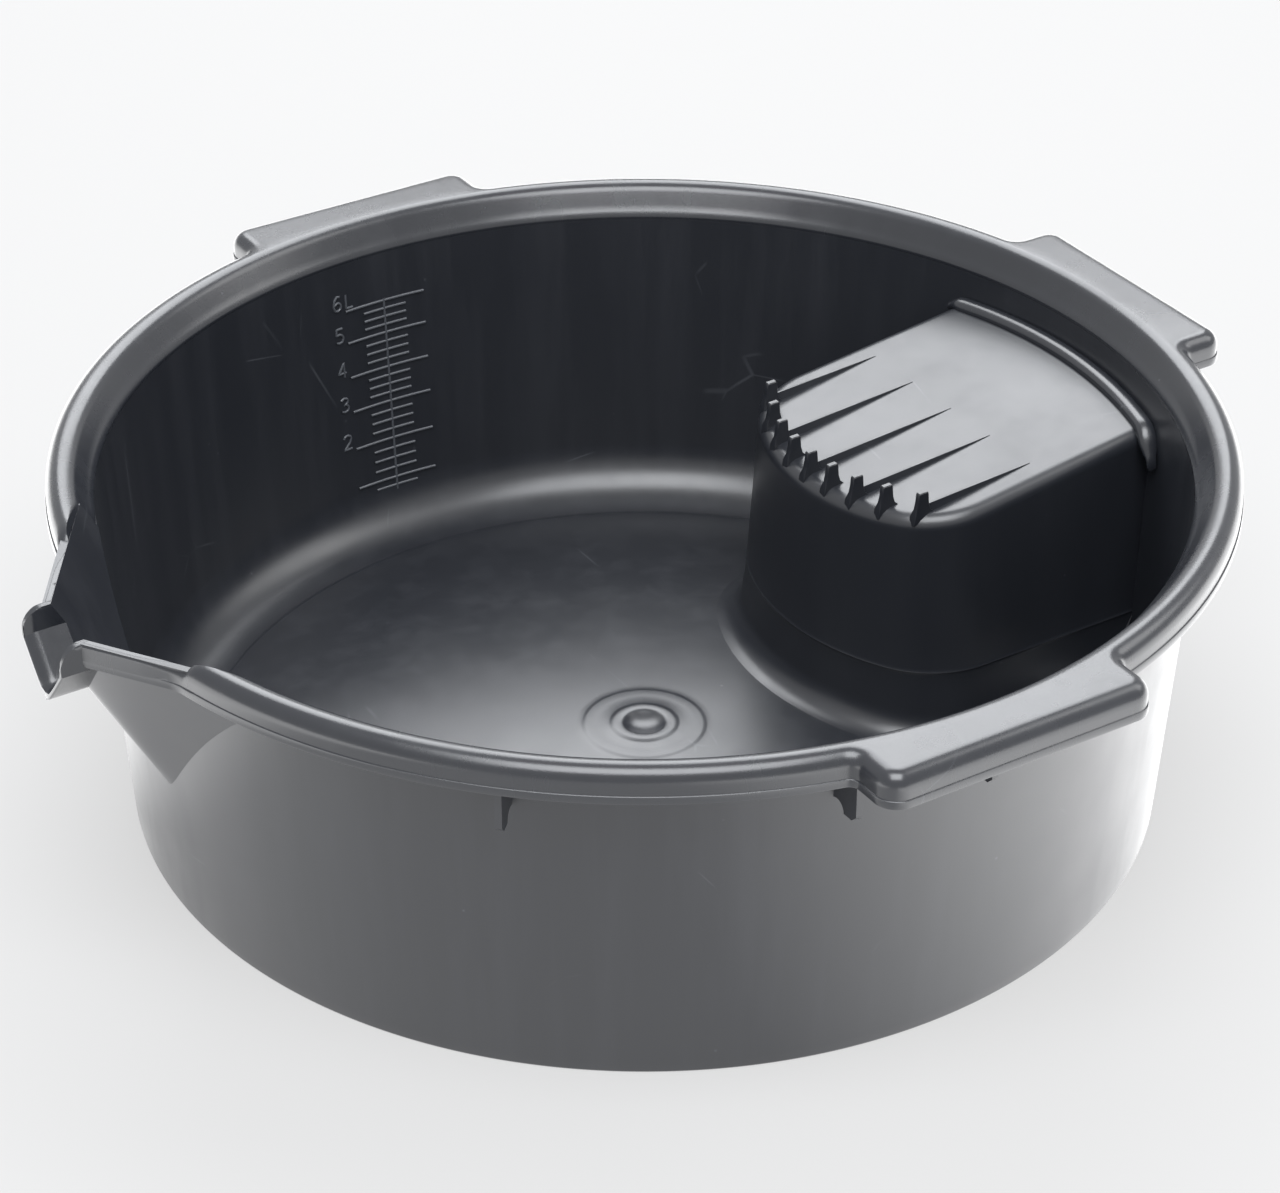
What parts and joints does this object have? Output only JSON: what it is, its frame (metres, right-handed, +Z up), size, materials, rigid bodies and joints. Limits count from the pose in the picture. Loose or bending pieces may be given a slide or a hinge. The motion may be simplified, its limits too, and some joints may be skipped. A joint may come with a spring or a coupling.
{
  "type": "oil drain pan",
  "caption": "Round open oil drain pan with a pouring spout, rim grips, a litre scale inside the wall and a toothed drip shelf for draining filters.",
  "frame": {"origin": "middle of the flat foot under the floor's centre, on the pan's axis, in the plane that the pan stands on", "axes": "+Z up along the pan's axis, -X towards the pouring spout, +X towards the drip shelf, +Y towards the wall with the litre scale"},
  "size_m": [0.3898, 0.3808, 0.1156],
  "materials": {
    "shell": "satin black polypropylene"
  },
  "bodies": {
    "root": {"wall": "shell", "corner_fillet": "shell", "floor_panel": "shell", "gate_boss": "shell", "centre_foot": "shell", "floor_rib_1": "shell", "floor_rib_2": "shell", "floor_rib_3": "shell", "floor_rib_4": "shell", "floor_rib_5": "shell", "floor_rib_6": "shell", "floor_rib_7": "shell", "floor_rib_8": "shell", "rim_roll": "shell", "rim_skirt": "shell", "grip_back": "shell", "grip_left": "shell", "grip_right": "shell", "gusset_diagonal_1": "shell", "gusset_diagonal_2": "shell", "gusset_diagonal_3": "shell", "gusset_diagonal_4": "shell", "gusset_spout_1": "shell", "gusset_spout_2": "shell", "gusset_grip_1": "shell", "gusset_grip_2": "shell", "gusset_grip_3": "shell", "gusset_grip_4": "shell", "gusset_grip_5": "shell", "gusset_grip_6": "shell", "gusset_grip_7": "shell", "gusset_grip_8": "shell", "gusset_grip_9": "shell", "column_wall": "shell", "shelf_top": "shell", "shelf_bead": "shell", "tooth_1": "shell", "tooth_2": "shell", "tooth_3": "shell", "tooth_4": "shell", "tooth_5": "shell", "tooth_6": "shell", "tooth_7": "shell", "tooth_8": "shell", "tooth_9": "shell", "drain_rib_1": "shell", "drain_rib_2": "shell", "drain_rib_3": "shell", "drain_rib_4": "shell", "drain_rib_5": "shell", "spout_side_left": "shell", "spout_side_right": "shell", "spout_keel": "shell", "spout_channel": "shell", "spout_flange_left": "shell", "spout_flange_right": "shell", "litre_scale": "shell"}
  },
  "joints": []
}
